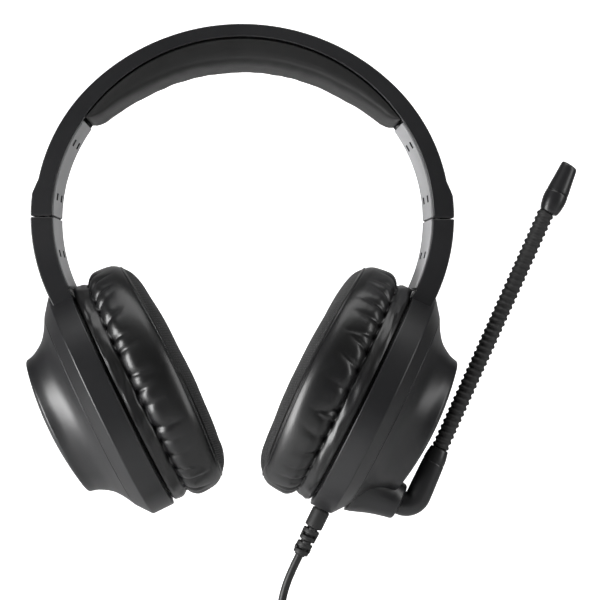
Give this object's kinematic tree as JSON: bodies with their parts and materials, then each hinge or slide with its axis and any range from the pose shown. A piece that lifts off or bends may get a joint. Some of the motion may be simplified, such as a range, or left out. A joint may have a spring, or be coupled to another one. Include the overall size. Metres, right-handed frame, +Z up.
{
  "type": "gaming headset",
  "caption": "Wired over-ear headset with a padded sprung headband, size-adjusting cups and a swinging flexible boom microphone.",
  "frame": {"origin": "middle of the headband pad's underside, where a head carries the headset", "axes": "+X to the wearer's left, the microphone side; -Y to the face; +Z up"},
  "size_m": [0.2309, 0.0854, 0.348],
  "materials": {
    "black_plastic": "satin moulded",
    "inner_plastic": "matte moulded",
    "grey_plastic": "matte moulded",
    "leatherette": "soft gloss",
    "cloth": "knitted",
    "cone_film": "thin film",
    "steel": "brushed",
    "plated_brass": "plated",
    "board": "coated",
    "gooseneck_rubber": "matte ribbed",
    "moulded_rubber": "matte moulded",
    "cord_rubber": "matte"
  },
  "bodies": {
    "headband": {"headband_shell": "black_plastic", "spring_band": "steel", "bridge_wire": "cord_rubber", "pad_base": "inner_plastic", "headband_pad": "leatherette", "left_slider_guide": "inner_plastic", "left_detent_spring": "steel", "left_band_liner": "grey_plastic", "right_slider_guide": "inner_plastic", "right_detent_spring": "steel", "right_band_liner": "grey_plastic"},
    "left_cup": {"left_cup_housing": "black_plastic", "left_cap": "black_plastic", "left_baffle": "inner_plastic", "left_baffle_screws": "steel", "left_driver_frame": "inner_plastic", "left_driver_magnet": "steel", "left_driver_cone": "cone_film", "left_acoustic_cloth": "cloth", "left_ear_cushion": "leatherette", "left_arm_liner": "grey_plastic", "left_slider_rail": "steel", "left_rail_screws": "steel", "mic_boss": "black_plastic", "junction_board": "board", "cord_lead": "cord_rubber", "cord_coil": "cord_rubber", "cord_tail": "cord_rubber", "cord_tie": "moulded_rubber", "plug_grip": "moulded_rubber", "plug_contacts": "plated_brass", "plug_insulators": "inner_plastic", "strain_relief": "moulded_rubber"},
    "right_cup": {"right_cup_housing": "black_plastic", "right_cap": "black_plastic", "right_baffle": "inner_plastic", "right_baffle_screws": "steel", "right_driver_frame": "inner_plastic", "right_driver_magnet": "steel", "right_driver_cone": "cone_film", "right_acoustic_cloth": "cloth", "right_ear_cushion": "leatherette", "right_arm_liner": "grey_plastic", "right_slider_rail": "steel", "right_rail_screws": "steel"},
    "boom": {"boom_pin": "steel", "friction_washer": "steel", "pivot_clip": "steel", "boom_elbow": "black_plastic", "boom_collar": "black_plastic"},
    "gooseneck_lower": {"gooseneck_sleeve_1": "gooseneck_rubber", "gooseneck_wire_1": "steel"},
    "gooseneck_middle": {"gooseneck_sleeve_2": "gooseneck_rubber", "gooseneck_wire_2": "steel"},
    "microphone": {"gooseneck_sleeve_3": "gooseneck_rubber", "gooseneck_wire_3": "steel", "mic_neck": "black_plastic", "mic_head": "black_plastic", "mic_element": "steel"}
  },
  "joints": [
    {"name": "left_size", "type": "slide", "parent": "headband", "child": "left_cup", "axis": [0.1564, 0, -0.9877], "range_m": [0, 0.022]},
    {"name": "right_size", "type": "slide", "parent": "headband", "child": "right_cup", "axis": [-0.1564, 0, -0.9877], "range_m": [0, 0.022]},
    {"name": "boom_swing", "type": "hinge", "parent": "left_cup", "child": "boom", "pos_m": [0.06607, -0.00147, -0.18365], "axis": [0.8979, -0.0436, -0.438], "range_deg": [0, 125]},
    {"name": "flex_lower", "type": "hinge", "parent": "boom", "child": "gooseneck_lower", "pos_m": [0.08341, -0.00169, -0.15988], "axis": [0.0392, 0.999, -0.0191], "range_deg": [-4, 8], "deforming": ["gooseneck_sleeve_1", "gooseneck_wire_1"]},
    {"name": "flex_middle", "type": "hinge", "parent": "gooseneck_lower", "child": "gooseneck_middle", "pos_m": [0.0978, -0.00164, -0.12786], "axis": [0.0392, 0.999, -0.0191], "range_deg": [-12, 24], "deforming": ["gooseneck_sleeve_2", "gooseneck_wire_2"]},
    {"name": "flex_upper", "type": "hinge", "parent": "gooseneck_middle", "child": "microphone", "pos_m": [0.11272, -0.00159, -0.09466], "axis": [0.0392, 0.999, -0.0191], "range_deg": [-16, 32], "deforming": ["gooseneck_sleeve_3", "gooseneck_wire_3"]}
  ],
  "couplings": [
    {"joint": "flex_middle", "follows": "flex_lower", "ratio": 3},
    {"joint": "flex_upper", "follows": "flex_lower", "ratio": 4}
  ]
}
